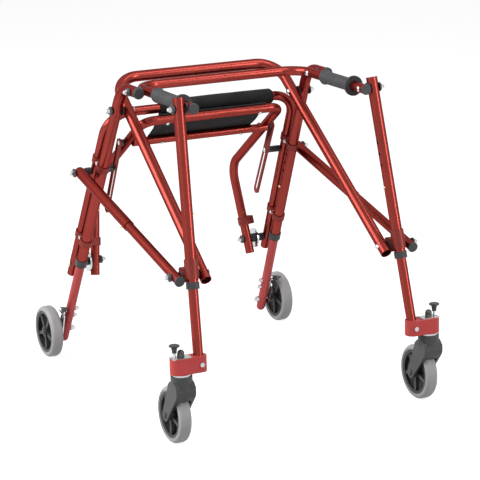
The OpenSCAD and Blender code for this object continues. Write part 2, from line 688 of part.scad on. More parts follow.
// Side braces: sleeve, slide and tips
function brace_at(s) = [brace_x, p6_y + s * brace_dir.y, p6_z + s * brace_dir.z];
brace_button_s = sleeve_len - 24;
fold_steps = 8;
module brace_hole(s, d, r0) {
  p = brace_at(s);
  rod(p + r0 * brace_press, p + (tube_r + 6) * brace_press, d);
}
module brace_upper() {
  color(red) difference() {
    union() {
      rod(brace_at(0), brace_at(sleeve_len), tube_d);
      translate(brace_at(0)) sphere(d = tube_d);
    }
    rod(brace_at(-4), brace_at(sleeve_len + 2), bore_d);
    drill(p6_y, p6_z, bolt_hole, brace_x - 30, brace_x + 30);
    brace_hole(brace_button_s, hole_d, 4);
  }
}
module brace_upper_l() side(-1) brace_upper();
module brace_upper_r() side(1) brace_upper();
module brace_lower() {
  color(red) difference() {
    rod(brace_at(sleeve_len - 46), brace_at(brace_len + brace_tail), inner_d);
    rod(brace_at(sleeve_len - 50), brace_at(brace_len + brace_tail + 2), inner_d - 2 * thin_wall);
    drill(p3_y, p3_z, bolt_hole, brace_x - 30, brace_x + 30);
    for (k = [0, fold_steps]) brace_hole(brace_button_s + k * hole_pitch, hole_d + 0.4, 2);
  }
}
module brace_lower_l() side(-1) brace_lower();
module brace_lower_r() side(1) brace_lower();
stub_in = lug_out + run_gap + 1.4 + run_gap;
module brace_ends() both() {
  color(dark) {
    rod(brace_at(brace_len + brace_tail + seat_gap), brace_at(brace_len + brace_tail + 4), inner_d + 1.6);
    rod(brace_at(brace_len + brace_tail - 8), brace_at(brace_len + brace_tail + 1),
      inner_d - 2 * thin_wall - 2 * seat_gap);
    ring(p3_y, p3_z, brace_x + inner_r + seat_gap, brace_x + inner_r + 3.6, 20, bolt_hole);
    ring(p3_y, p3_z, stub_in + 1.5, brace_x - inner_r - seat_gap, 20, bolt_hole);
  }
  color(zinc) {
    drill(p3_y, p3_z, bolt_d, stub_in + 0.5, brace_x + inner_r + 7);
    translate([stub_in, p3_y, p3_z]) rotate([0, 90, 0]) cylinder(d = 11, h = 1.4);
    acorn(p3_y, p3_z, brace_x + inner_r + 3.7);
  }
}
// Centre of the button's dome, far enough out that the dome stays clear of the slide
button_dome = bore_d / 2 + 0.3 + (hole_d - 0.9) / 2;
module brace_button() {
  p = brace_at(brace_button_s);
  color(brass) {
    rod(p + (bore_d / 2 + 0.1) * brace_press, p + button_dome * brace_press, hole_d - 0.9);
    translate(p + button_dome * brace_press) sphere(d = hole_d - 0.92);
  }
}
module brace_button_l() side(-1) brace_button();
module brace_button_r() side(1) brace_button();

// Seat frame: front tube and arms in one bend, rear sling tube welded between the arms
seat_pts = [left(seat_low), left(seat_mid), left(seat_top), seat_top, seat_mid, seat_low];
// the rear sling tube ends in the arm's inner flank, clear of the strut bolt's nut
sling_end = [seat_x - 2, sling_low.y, sling_low.z];
module seat_frame() color(red) difference() {
  union() {
    bent(seat_pts, [0, 60, 30, 30, 60, 0], seat_d);
    rod(left(sling_end), sling_end, seat_d - 3, 70);
  }
  bent(seat_pts, [0, 60, 30, 30, 60, 0], seat_d - 2 * thin_wall, 1);
  both() {
    drill(hinge_y, seat_hinge_z, bolt_hole, seat_low_x - 30, seat_low_x + 30);
    drill(p7_y, p7_z, bolt_hole, p7_x - 30, p7_x + 30);
  }
}
// Stop saddles on the lower arms
block_s = 46;
module seat_block() {
  c = [seat_low_x, hinge_y, seat_hinge_z] - block_s * seat_low_dir;
  difference() {
    basis(c, unit([1, 0, -seat_low_dir.x / seat_low_dir.z]), -seat_low_dir)
      translate([0, 0, -10]) linear_extrude(20) {
        circle(r = seat_r + 3);
        translate([0, -seat_r - 3]) square([seat_low_x + seat_r + 6 - c.x, 2 * seat_r + 6]);
      }
    rod(c - 30 * seat_low_dir, c + 30 * seat_low_dir, seat_d + 2 * seat_gap);
  }
}
module seat_blocks() color(satin_red) both() seat_block();
// Sling cloth over the two seat tubes, with a shallow sag, hemmed round both
sling_wide = 137;
sling_narrow = 135;
module seat_sling() {
  r0 = seat_r + run_gap;
  r1 = r0 + sling_t;
  q0 = seat_r - 1.5 + run_gap;
  n = 16;
  sag = [for (i = [0 : n]) [sling_span * i / n, (r0 + (q0 - r0) * i / n) - 5 * sin(180 * i / n)]];
  top = [for (i = [n : -1 : 0]) [sag[i].x, sag[i].y + sling_t]];
  color(black) intersection() {
    basis([0, seat_top_y, seat_top_z], sling_dir, [1, 0, 0]) translate([0, 0, -sling_wide])
      linear_extrude(2 * sling_wide) {
        polygon(concat(sag, top));
        intersection() {
          difference() {
            circle(r = r1);
            circle(r = r0);
          }
          polygon([[0, 0], [0, 60], [-60, 60], [-60, 34]]);
        }
        translate([sling_span, 0]) intersection() {
          difference() {
            circle(r = q0 + sling_t);
            circle(r = q0);
          }
          polygon([[0, 0], [0, 60], [60, 60], [60, 20]]);
        }
      }
    basis([0, seat_top_y, seat_top_z], sling_dir, sling_up) translate([0, 0, -60]) linear_extrude(120)
      polygon([[-20, -sling_wide], [8, -sling_wide],
        [sling_span - 10, -sling_narrow], [sling_span + 20, -sling_narrow],
        [sling_span + 20, sling_narrow], [sling_span - 10, sling_narrow],
        [8, sling_wide], [-20, sling_wide]]);
  }
}
// Sling screws and strut bolts
module sling_screw(p, x, r) {
  translate([x, p.y, p.z] - (r + seat_gap) * sling_up) basis([0, 0, 0], [1, 0, 0], -sling_up) {
    cylinder(d = 9, h = 1.2);
    translate([0, 0, 1.2]) cylinder(d1 = 9, d2 = 5, h = 1.8);
  }
}
module seat_bolts() both() {
  color(zinc) {
    sling_screw(seat_top, 120, seat_r);
    sling_screw(sling_low, 104, seat_r - 1.5);
    drill(p7_y, p7_z, bolt_d, p7_x - seat_r - 6, strut_in + strut_floor + 1.2);
    acorn(p7_y, p7_z, p7_x - seat_r - tilt_gap - 3.5, -1, 11.4);
    translate([strut_in + strut_floor + run_gap, p7_y, p7_z]) rotate([0, 90, 0]) cylinder(d = 11, h = 2);
  }
  color(dark) {
    ring(p7_y, p7_z, p7_x - seat_r - tilt_gap - 3.4, p7_x - seat_r - tilt_gap - 0.1, 19, bolt_hole);
    ring(p7_y, p7_z, p7_x + seat_r + tilt_gap + 0.1, strut_in - run_gap, 16, bolt_hole);
  }
}
// Slotted seat struts: a channel with round ends, hung from the arm and guided on the slot pin
pin_s = norm([p6_y - p7_y, p6_z - p7_z]);
slot_w = bolt_d + 1.4;
module stadium(len, w) intersection() {
  union() {
    translate([end_crown, 0]) circle(r = w / 2 + end_crown);
    translate([len - end_crown, 0]) circle(r = w / 2 + end_crown);
    translate([end_crown, -w / 2 - 1]) square([len - 2 * end_crown, w + 2]);
  }
  translate([-w, -w / 2]) square([len + 2 * w, w]);
}
module strut() {
  strut_dir = unit([0, p6_y - p7_y, p6_z - p7_z]);
  color(satin_red) basis([strut_in, p7_y, p7_z], strut_dir, [1, 0, 0]) difference() {
    linear_extrude(strut_out - strut_in) translate([0, 0]) stadium(strut_len - strut_w / 2, strut_w);
    translate([0, 0, strut_floor]) linear_extrude(20) stadium(strut_len - strut_w / 2, strut_w - 4.4);
    translate([0, 0, -1]) cylinder(d = bolt_hole, h = 20);
    translate([0, 0, -1]) linear_extrude(20) translate([pin_s, 0]) stadium(slot_run, slot_w);
  }
}
module strut_l() side(-1) strut();
module strut_r() side(1) strut();
pin_out = leg_x(p6_z) - seat_r - 1.7 - run_gap;
module slot_pins() both() {
  color(zinc) {
    drill(p6_y, p6_z, bolt_d, strut_in - 2, pin_out - 0.2);
    // low head, clear of the seat arm that swings past it
    translate([strut_in - run_gap - 0.9, p6_y, p6_z]) rotate([0, -90, 0]) {
      cylinder(d = 12, h = 0.7);
      translate([0, 0, 0.6]) cylinder(d1 = 11.4, d2 = 8, h = 0.8);
    }
  }
  color(dark) {
    ring(p6_y, p6_z, strut_in - run_gap - 0.8, strut_in - run_gap, 14, bolt_hole);
    ring(p6_y, p6_z, strut_out + run_gap, pin_out, 16, bolt_hole);
  }
}

// Caster brackets: a round-ended block on the lower front leg
block_mid = [block_x + block_len / 2, stem_y, block_z];
stem_d = 12;
pin_d = 6;
module caster_block() {
  color(satin_red) difference() {
    translate([block_x + block_w / 2, stem_y, block_z]) linear_extrude(block_h)
      stadium(block_len - block_w, block_w);
    rod(front_leg_at(inner_low_z - seat_gap), front_leg_at(block_top + 30), inner_d + 2 * seat_gap, 130);
    translate([caster_track, stem_y, block_z - 1]) cylinder(d = stem_d + 2 * seat_gap, h = block_h + 2);
    translate([knob_x, stem_y, block_z - 1]) cylinder(d = pin_d + 2 * run_gap, h = block_h + 2);
    translate([leg_x(block_z + block_h / 2), stem_y, block_z + block_h / 2]) rotate([90, 0, 0])
      cylinder(d = 6.4, h = 60, center = true);
  }
}
module caster_block_l() side(-1) caster_block();
module caster_block_r() side(1) caster_block();
module caster_hardware() {
  zc = block_z + block_h / 2;
  xc = leg_x(zc);
  color(zinc) {
    // clamp screw through the leg, socket head in front and nut behind
    translate([xc, stem_y + block_w / 2 + 3, zc]) rotate([90, 0, 0]) cylinder(d = 6, h = block_w + 5);
    translate([xc, stem_y - block_w / 2 - seat_gap, zc]) rotate([90, 0, 0]) difference() {
      cylinder(d = 10, h = 2.4);
      translate([0, 0, 1]) cylinder(d = 5, h = 3, $fn = 6);
    }
    translate([xc, stem_y + block_w / 2 + seat_gap, zc]) rotate([-90, 0, 0])
      cylinder(d = 11, h = 4.4, $fn = 6);
    // top plate
    translate([0, 0, block_top + seat_gap]) linear_extrude(1.6) difference() {
      translate([xc + 21, stem_y - 13]) square([knob_x - xc - 13, 26]);
      translate([caster_track, stem_y]) circle(d = stem_d + 2 * seat_gap);
      translate([knob_x, stem_y]) circle(d = pin_d + 2 * run_gap);
    }
    // stem and bearing race
    translate([caster_track, stem_y, fork_top - 26]) cylinder(d = stem_d, h = block_top - fork_top + 30);
    translate([caster_track, stem_y, fork_top + run_gap]) difference() {
      cylinder(d = 42, h = block_z - fork_top - run_gap - seat_gap);
      translate([0, 0, -1]) cylinder(d = stem_d + 2 * seat_gap, h = 10);
      translate([knob_x - caster_track, 0, -1]) cylinder(d = pin_d + 2 * run_gap, h = 10);
    }
  }
  color(dark) translate([caster_track, stem_y, block_top + 1.8 + seat_gap]) difference() {
    union() {
      cylinder(d = 17.5, h = 9, $fn = 6);
      translate([0, 0, 9]) cylinder(d1 = 15, d2 = 13, h = 2);
      translate([0, 0, 9]) intersection() {
        sphere(d = 15.2);
        cylinder(d = 20, h = 8);
      }
    }
    translate([0, 0, -1]) cylinder(d = stem_d + 2 * seat_gap, h = 4);
  }
}
module caster_hardware_l() side(-1) caster_hardware();
module caster_hardware_r() side(1) caster_hardware();
// Swivel lock: a sprung pin with a mushroom knob
lock_travel = 8;
module lock_knob() {
  translate([knob_x, stem_y, 0]) {
    color(zinc) translate([0, 0, fork_top + 2 * run_gap]) cylinder(d = pin_d, h = block_top + 16 - fork_top);
    color(dark) translate([0, 0, block_top + 13]) {
      cylinder(d = 10.5, h = 3);
      translate([0, 0, 3]) cylinder(d1 = 10.5, d2 = 13, h = 8);
      translate([0, 0, 11]) cylinder(d1 = 13, d2 = 24, h = 4);
      translate([0, 0, 15]) cylinder(d = 24, h = 2);
      translate([0, 0, 17]) cylinder(d1 = 24, d2 = 19, h = 1.4);
    }
  }
}
module lock_knob_l() side(-1) lock_knob();
module lock_knob_r() side(1) lock_knob();

// Caster fork: a crown with two legs swept back to the axle
fork_gap = tyre_w + 5;
axle_d = bolt_d + 2;
module fork() {
  color(dark) difference() {
    union() {
      translate([caster_track, stem_y, fork_top - 34]) cylinder(d = crown_d, h = 34);
      plate_x(caster_track - fork_gap / 2 - 6, caster_track + fork_gap / 2 + 6) {
        link2d([stem_y, fork_top - 34], crown_d / 2 - 0.6, [caster_y, axle_z], 13);
        translate([stem_y - crown_d / 2 + 1.2, fork_top - 34]) square([crown_d - 2.4, 12]);
      }
    }
    translate([caster_track - fork_gap / 2, caster_y, axle_z]) rotate([0, 90, 0])
      cylinder(r = wheel_r + 3.5, h = fork_gap);
    translate([caster_track, stem_y, fork_top - 28]) cylinder(d = stem_d + 2 * run_gap, h = 60);
    for (a = [0 : 90 : 270]) translate([caster_track, stem_y, fork_top - lock_travel - 2]) rotate([0, 0, a])
      translate([knob_x - caster_track, 0, 0]) cylinder(d = pin_d + 2 * run_gap, h = 20);
    drill(caster_y, axle_z, axle_d + 2 * bolt_play, caster_track - 60, caster_track + 60);
  }
  color(black) {
    drill(caster_y, axle_z, axle_d, caster_track - fork_gap / 2 - 8, caster_track + fork_gap / 2 + 8);
    bolt_head(caster_y, axle_z, caster_track - fork_gap / 2 - 6.1, -1, 14);
    bolt_head(caster_y, axle_z, caster_track + fork_gap / 2 + 6.1, 1, 14);
  }
}
module fork_l() side(-1) fork();
module fork_r() side(1) fork();

// Wheels, on X about the origin
module tyre() {
  w = tyre_w / 2;
  crown = tyre_h - 2.5;
  rotate([0, 90, 0]) color(tyre_grey) rotate_extrude() difference() {
    union() {
      translate([rim_r + seat_gap, -w + 1.5]) square([2.6, tyre_w - 3]);
      intersection() {
        translate([rim_r + 2.5, -w]) square([tyre_h, tyre_w]);
        union() {
          for (s = [-1, 1]) translate([wheel_r - crown, s * (w - crown)]) circle(r = crown);
          translate([rim_r, crown - w]) square([tyre_h, tyre_w - 2 * crown]);
        }
      }
    }
    translate([rim_r - 5, -w]) square([5 + seat_gap, tyre_w]);
  }
}
module hub(boss_in, boss_out) {
  w = tyre_w / 2 - 2.5;
  rotate([0, 90, 0]) color(dark) difference() {
    union() {
      rotate_extrude() {
        translate([rim_r - 5, -w]) square([5, 2 * w]);
        translate([rim_r - 7, -w]) square([3, 3]);
        translate([rim_r - 7, w - 3]) square([3, 3]);
        translate([0, -4]) square([rim_r - 4, 8 - 4.6]);
      }
      translate([0, 0, -boss_in]) cylinder(d = 26, h = boss_in + boss_out);
      for (k = [0 : spokes - 1]) rotate([0, 0, 360 * k / spokes]) translate([9, -4, -w + 1.5])
        cube([rim_r - 12, 8, 2 * w - 3]);
    }
    translate([0, 0, -60]) cylinder(d = axle_d + 2 * bolt_play, h = 120);
    for (k = [0 : spokes - 1]) rotate([0, 0, 360 * (k + 0.5) / spokes])
      translate([rim_r * 0.62, 0, -20]) cylinder(r = rim_r * 0.2, h = 40);
  }
}
module caster_tyre_l() side(-1) translate([caster_track, caster_y, axle_z]) tyre();
module caster_tyre_r() side(1) translate([caster_track, caster_y, axle_z]) tyre();
module caster_hub_l() side(-1) translate([caster_track, caster_y, axle_z])
  hub(fork_gap / 2 - 0.5, fork_gap / 2 - 0.5);
module caster_hub_r() side(1) translate([caster_track, caster_y, axle_z])
  hub(fork_gap / 2 - 0.5, fork_gap / 2 - 0.5);
module rear_tyre_l() side(-1) translate([rear_track, rear_axle_y, axle_z]) tyre();
module rear_tyre_r() side(1) translate([rear_track, rear_axle_y, axle_z]) tyre();
rear_boss = tyre_w / 2 + 1;
module rear_hub_l() side(-1) translate([rear_track, rear_axle_y, axle_z]) hub(rear_boss, rear_boss - 2);
module rear_hub_r() side(1) translate([rear_track, rear_axle_y, axle_z]) hub(rear_boss, rear_boss - 2);

// Rear axle, stop pins and the teardrop plate
plate_in = leg_x(axle_z) + inner_r + tilt_gap + 0.2;
plate_out = plate_in + 3;
hub_in = rear_track - rear_boss;
hub_out = rear_track + rear_boss - 2;
lever_in = plate_out + 0.8;
lever_out = lever_in + 6;
module rear_axle() {
  lo = rear_leg_at(pin_lo_z);
  hi = rear_leg_at(pin_hi_z);
  color(zinc) {
    drill(rear_axle_y, axle_z, axle_d, leg_x(axle_z) - inner_r - 6, hub_out + 3);
    acorn(rear_axle_y, axle_z, leg_x(axle_z) - inner_r - tilt_gap, -1, 14.5);
    bolt_head(rear_axle_y, axle_z, hub_out + run_gap, 1, 18);
    ring(rear_axle_y, axle_z, plate_out + seat_gap, hub_in - run_gap, 17, axle_d + 2 * bolt_play);
    plate_x(plate_in, plate_out) difference() {
      link2d([rear_axle_y, axle_z], 15, [lo.y, lo.z], 9);
      translate([rear_axle_y, axle_z]) circle(d = axle_d + 2 * bolt_play);
      translate([lo.y, lo.z]) circle(d = bolt_hole);
    }
    drill(lo.y, lo.z, bolt_d, lo.x - inner_r - 5, plate_out + 2);
    acorn(lo.y, lo.z, lo.x - inner_r - tilt_gap, -1, 11.4);
    bolt_head(lo.y, lo.z, plate_out + seat_gap, 1, 11);
    drill(hi.y, hi.z, bolt_d, hi.x - inner_r - 5, lever_out + 1);
    acorn(hi.y, hi.z, hi.x - inner_r - tilt_gap, -1, 11.4);
    bolt_head(hi.y, hi.z, lever_out + run_gap, 1, 11);
    ring(hi.y, hi.z, hi.x + inner_r + tilt_gap, lever_in - run_gap, 13, bolt_hole);
  }
}
module rear_axle_l() side(-1) rear_axle();
module rear_axle_r() side(1) rear_axle();
// One-way pawl lever beside the wheel
module brake_lever() {
  hi = rear_leg_at(pin_hi_z);
  tip = [hi.y - 20, hi.z + 7];
  color(dark) {
    difference() {
      plate_x(lever_in, lever_out) link2d([hi.y, hi.z], 8, tip, 5);
      drill(hi.y, hi.z, bolt_hole, lever_in - 5, lever_out + 5);
    }
    drill(tip.x, tip.y, 6.5, lever_out - 1, lever_out + 7);
  }
}
module brake_lever_l() side(-1) brake_lever();
module brake_lever_r() side(1) brake_lever();

rear_leg_l();
rear_leg_r();
back_bar();
back_pad();
tube_clamps();
rear_plastics();
rear_bolts();
rear_button_l();
rear_button_r();
cross_frame();
cross_bolts();
handlebar();
grip_l();
grip_r();
bar_ends();
front_leg_l();
front_leg_r();
knee_brackets();
leg_collars();
leg_bolts();
front_button_l();
front_button_r();
brace_upper_l();
brace_upper_r();
brace_lower_l();
brace_lower_r();
brace_ends();
brace_button_l();
brace_button_r();
seat_frame();
seat_blocks();
seat_sling();
seat_bolts();
strut_l();
strut_r();
slot_pins();
front_inner_l();
front_inner_r();
caster_block_l();
caster_block_r();
caster_hardware_l();
caster_hardware_r();
lock_knob_l();
lock_knob_r();
fork_l();
fork_r();
caster_tyre_l();
caster_tyre_r();
caster_hub_l();
caster_hub_r();
rear_inner_l();
rear_inner_r();
rear_axle_l();
rear_axle_r();
brake_lever_l();
brake_lever_r();
rear_tyre_l();
rear_tyre_r();
rear_hub_l();
rear_hub_r();
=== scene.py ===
"""Looks for the posterior walker: camera, studio, materials, back pad and sling cloth."""
import math

import bmesh
import bpy
from mathutils import Matrix, Vector, noise


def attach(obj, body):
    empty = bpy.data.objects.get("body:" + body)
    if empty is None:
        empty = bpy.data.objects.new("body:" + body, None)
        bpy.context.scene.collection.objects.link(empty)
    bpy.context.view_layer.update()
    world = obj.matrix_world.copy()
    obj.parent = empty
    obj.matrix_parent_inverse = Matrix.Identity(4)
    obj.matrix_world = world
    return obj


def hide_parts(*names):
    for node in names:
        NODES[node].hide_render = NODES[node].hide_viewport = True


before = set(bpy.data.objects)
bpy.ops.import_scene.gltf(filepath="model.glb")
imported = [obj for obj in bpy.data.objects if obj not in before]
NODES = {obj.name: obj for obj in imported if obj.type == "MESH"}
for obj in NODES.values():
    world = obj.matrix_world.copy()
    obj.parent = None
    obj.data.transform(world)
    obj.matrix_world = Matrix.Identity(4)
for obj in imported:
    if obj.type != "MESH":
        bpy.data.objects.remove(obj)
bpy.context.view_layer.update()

# camera: the photograph's viewing angle
CAM_AZIMUTH = math.radians(-25.81)
CAM_ELEVATION = math.radians(14.28)
CAM_ROLL = math.radians(-1.28)
CAM_DISTANCE = 5.001
CAM_TARGET = Vector((0.0, -0.103, 0.350))
FRAME_PX = 480
FOCAL_PX = 2156.0
CENTRE_PX = (245.4, 243.0)
SENSOR_MM = 36.0
FAR_CLIP = 100.0


def make_camera():
    ca, sa = math.cos(CAM_AZIMUTH), math.sin(CAM_AZIMUTH)
    ce, se = math.cos(CAM_ELEVATION), math.sin(CAM_ELEVATION)
    cr, sr = math.cos(CAM_ROLL), math.sin(CAM_ROLL)
    back = Vector((sa * ce, -ca * ce, se))
    level = Vector((ca, sa, 0.0))
    rise = back.cross(level)
    right = level * cr + rise * sr
    up = rise * cr - level * sr
    data = bpy.data.cameras.new("camera")
    data.sensor_width = SENSOR_MM
    data.lens = FOCAL_PX / FRAME_PX * data.sensor_width
    data.shift_x = -(CENTRE_PX[0] - FRAME_PX / 2) / FRAME_PX
    data.shift_y = (CENTRE_PX[1] - FRAME_PX / 2) / FRAME_PX
    data.clip_end = FAR_CLIP
    cam = bpy.data.objects.new("camera", data)
    bpy.context.scene.collection.objects.link(cam)
    at = CAM_TARGET + back * CAM_DISTANCE
    cam.matrix_world = Matrix((
        (right.x, up.x, back.x, at.x),
        (right.y, up.y, back.y, at.y),
        (right.z, up.z, back.z, at.z),
        (0.0, 0.0, 0.0, 1.0)))
    bpy.context.scene.camera = cam


make_camera()
bpy.context.scene.view_settings.view_transform = "Standard"


# node helpers; the Mix node's sockets for colours have no names of their own
MIX_FACTOR, MIX_A, MIX_B = 0, 6, 7
MIX_COLOR = 2
X, Y, Z = 0, 1, 2


class Graph:
    """A material's node tree with short calls for the nodes used here."""

    def __init__(self, name):
        self.mat = bpy.data.materials.new(name)
        self.mat.use_nodes = True
        self.tree = self.mat.node_tree
        self.bsdf = self.tree.nodes["Principled BSDF"]
        self.coord = self.add("ShaderNodeTexCoord").outputs["Object"]
        self.split = None

    def add(self, kind, **props):
        n = self.tree.nodes.new(kind)
        for key, value in props.items():
            setattr(n, key, value)
        return n

    def put(self, socket, value):
        if isinstance(value, bpy.types.NodeSocket):
            self.tree.links.new(value, socket)
        else:
            socket.default_value = value

    def math(self, op, a, b=0.0):
        n = self.add("ShaderNodeMath", operation=op)
        self.put(n.inputs[0], a)
        self.put(n.inputs[1], b)
        return n.outputs[0]

    def axis(self, i):
        if self.split is None:
            n = self.add("ShaderNodeSeparateXYZ")
            self.put(n.inputs[0], self.coord)
            self.split = n.outputs
        return self.split[i]

    def noise(self, scale, detail=2.0):
        n = self.add("ShaderNodeTexNoise")
        self.put(n.inputs["Vector"], self.coord)
        n.inputs["Scale"].default_value = scale
        n.inputs["Detail"].default_value = detail
        return n.outputs["Fac"]

    def span(self, fac, lo, hi, start=0.3, end=0.7):
        """Maps fac from start..end to lo..hi."""
        n = self.add("ShaderNodeMapRange")
        self.put(n.inputs["Value"], fac)
        n.inputs["From Min"].default_value = start
        n.inputs["From Max"].default_value = end
        self.put(n.inputs["To Min"], lo)
        self.put(n.inputs["To Max"], hi)
        return n.outputs[0]

    def mix(self, fac, a, b):
        n = self.add("ShaderNodeMix", data_type="RGBA")
        self.put(n.inputs[MIX_FACTOR], fac)
        for socket, color in ((MIX_A, a), (MIX_B, b)):
            linked = isinstance(color, bpy.types.NodeSocket)
            self.put(n.inputs[socket], color if linked else (*color, 1.0))
        return n.outputs[MIX_COLOR]

    def clouded(self, dark, pale, scale, detail=3.0):
        """Colour that drifts between two tones in soft clouds."""
        return self.mix(self.span(self.noise(scale, detail), 0.0, 1.0), dark, pale)

    def bump(self, height, strength, distance):
        n = self.add("ShaderNodeBump")
        n.inputs["Strength"].default_value = strength
        n.inputs["Distance"].default_value = distance
        self.put(n.inputs["Height"], height)
        self.put(self.bsdf.inputs["Normal"], n.outputs[0])

    def set(self, **sockets):
        for key, value in sockets.items():
            self.put(self.bsdf.inputs[key.replace("_", " ")], value)
        return self.mat

    def above(self, value, limit):
        return self.math("GREATER_THAN", value, limit)

    def below(self, value, limit):
        return self.math("LESS_THAN", value, limit)

    def band(self, value, lo, hi):
        return self.math("MULTIPLY", self.above(value, lo), self.below(value, hi))

    def side(self):
        """Distance from the walker's middle plane."""
        return self.math("ABSOLUTE", self.axis(X))


def shade(color, gain):
    return tuple(c * gain for c in color)


# materials
RED = (0.25, 0.036, 0.028)
SATIN = (0.22, 0.040, 0.034)
LOWER = (0.48, 0.080, 0.080)
BLOCK = (0.50, 0.072, 0.070)
EDGE_TINT = (0.35, 0.14, 0.14, 1.0)
BLACK = (0.026, 0.026, 0.028)
CHARCOAL = (0.055, 0.055, 0.058)
LEVER_GREY = (0.10, 0.10, 0.10)
HUB_GREY = (0.045, 0.045, 0.045)
GRIP_GREY = (0.050, 0.050, 0.055)
FORK_TONES = ((0.060, 0.060, 0.061), (0.080, 0.080, 0.081))
TYRE_TONES = ((0.34, 0.335, 0.34), (0.40, 0.395, 0.40))
BRASS_TONES = ((0.62, 0.45, 0.20), (0.80, 0.62, 0.32))
FOAM_TONES = ((0.014, 0.014, 0.015), (0.026, 0.026, 0.028))
CLOTH_TONES = ((0.012, 0.012, 0.013), (0.024, 0.024, 0.026))
CAP_NUT = (0.055, 0.062, 0.055)
ZINC = (0.52, 0.525, 0.54)
PLASTIC_SPECULAR = 0.28
FABRIC_SPECULAR = 0.12
FABRIC_SHEEN = 0.04
DARK_ROUGH = 0.5
CAP_NUT_METAL = 0.35
RIB_PITCH = 0.0045
RIB_GRAIN = 0.3
WARP_WAVES = 5200.0
WEFT_WAVES = 3700.0

# heights and places on the walker where a node's finish changes, in metres
RIB_FLOOR = 0.118
CAP_NUT_FLOOR = 0.20480
KNOB_FLOOR = 0.2158
KNEE_SPACER = (0.2368, 0.2409)
BAR_SPACER_IN = 0.2234
BAR_CAP_BACK = -0.2998
LEG_WASHER_OUT = 0.25665
BRACE_WASHERS = (0.27745, 0.30475)
BRACE_CAP_BACK = -0.369
SEAT_WASHERS = (0.16545, 0.19890)
SLOT_SPACER_IN = 0.19789
AXLE_HEAD_IN = 0.33125


def anodised(name, color, rough, clear, metal):
    """Dyed aluminium: near-even colour, faint cloud, very slight grain."""
    g = Graph(name)
    tint = g.clouded(shade(color, 0.9), shade(color, 1.1), scale=9.0)
    grain = g.noise(scale=28.0)
    g.bump(g.noise(scale=900.0, detail=1.0), strength=0.002, distance=0.0001)
    return g.set(Base_Color=tint, Metallic=metal,
                 Roughness=g.span(grain, lo=rough - 0.015, hi=rough + 0.02),
                 Specular_Tint=EDGE_TINT, Coat_Weight=clear, Coat_Roughness=0.12)


def moulded(name, color, rough, grain_scale=1400.0, depth=0.00012):
    """Moulded plastic or rubber with a fine grain."""
    g = Graph(name)
    grain = g.noise(grain_scale, detail=3.0)
    tint = g.clouded(shade(color, 0.85), shade(color, 1.2), scale=25.0)
    g.bump(grain, strength=0.25, distance=depth)
    return g.set(Base_Color=tint, Roughness=g.span(grain, lo=rough - 0.06, hi=rough + 0.08),
                 Specular_IOR_Level=PLASTIC_SPECULAR)


def plated(name, dark_mask=None):
    """Bright plating, with black plastic where dark_mask(g) is 1."""
    g = Graph(name)
    grain = g.noise(scale=700.0)
    tint = g.clouded(shade(ZINC, 0.9), shade(ZINC, 1.08), scale=60.0, detail=2.0)
    rough = g.span(grain, lo=0.14, hi=0.24)
    g.bump(grain, strength=0.05, distance=0.0001)
    if dark_mask is None:
        return g.set(Base_Color=tint, Metallic=1.0, Roughness=rough)
    mask = dark_mask(g)
    return g.set(Base_Color=g.mix(mask, tint, BLACK), Metallic=g.math("SUBTRACT", 1.0, mask),
                 Roughness=g.span(mask, lo=rough, hi=DARK_ROUGH, start=0.0, end=1.0))


def make_fork():
    """Dark moulded plastic with fine turned ribs on the sleeve below the bearing."""
    g = Graph("fork_plastic")
    grain = g.noise(scale=1400.0, detail=3.0)
    ribs = g.math("SINE", g.math("MULTIPLY", g.axis(Z), 2.0 * math.pi / RIB_PITCH))
    ribs = g.math("MULTIPLY", ribs, g.above(g.axis(Z), RIB_FLOOR))
    height = g.math("ADD", ribs, g.math("MULTIPLY", grain, RIB_GRAIN))
    tint = g.clouded(*FORK_TONES, scale=25.0)
    g.bump(height, strength=0.4, distance=0.0003)
    return g.set(Base_Color=tint, Roughness=g.span(grain, lo=0.46, hi=0.6),
                 Specular_IOR_Level=PLASTIC_SPECULAR)


def make_tyre():
    g = Graph("tyre_grey")
    grain = g.noise(scale=1100.0, detail=3.0)
    tint = g.clouded(*TYRE_TONES, scale=18.0, detail=4.0)
    g.bump(grain, strength=0.2, distance=0.0002)
    return g.set(Base_Color=tint, Roughness=g.span(grain, lo=0.5, hi=0.65))


def make_brass():
    g = Graph("button_brass")
    grain = g.noise(scale=800.0)
    tint = g.mix(g.span(grain, lo=0.0, hi=1.0), *BRASS_TONES)
    return g.set(Base_Color=tint, Metallic=1.0, Roughness=g.span(grain, lo=0.2, hi=0.3))


def make_caster_steel():
    """Plated steel up to the stem's cap nut, which is dark."""
    g = Graph("caster_steel")
    grain = g.noise(scale=700.0)
    mask = g.above(g.axis(Z), CAP_NUT_FLOOR)
    tint = g.mix(g.noise(scale=60.0), shade(ZINC, 0.85), ZINC)
    return g.set(Base_Color=g.mix(mask, tint, CAP_NUT),
                 Metallic=g.span(mask, lo=1.0, hi=CAP_NUT_METAL, start=0.0, end=1.0),
                 Roughness=g.span(grain, lo=0.2, hi=0.34))


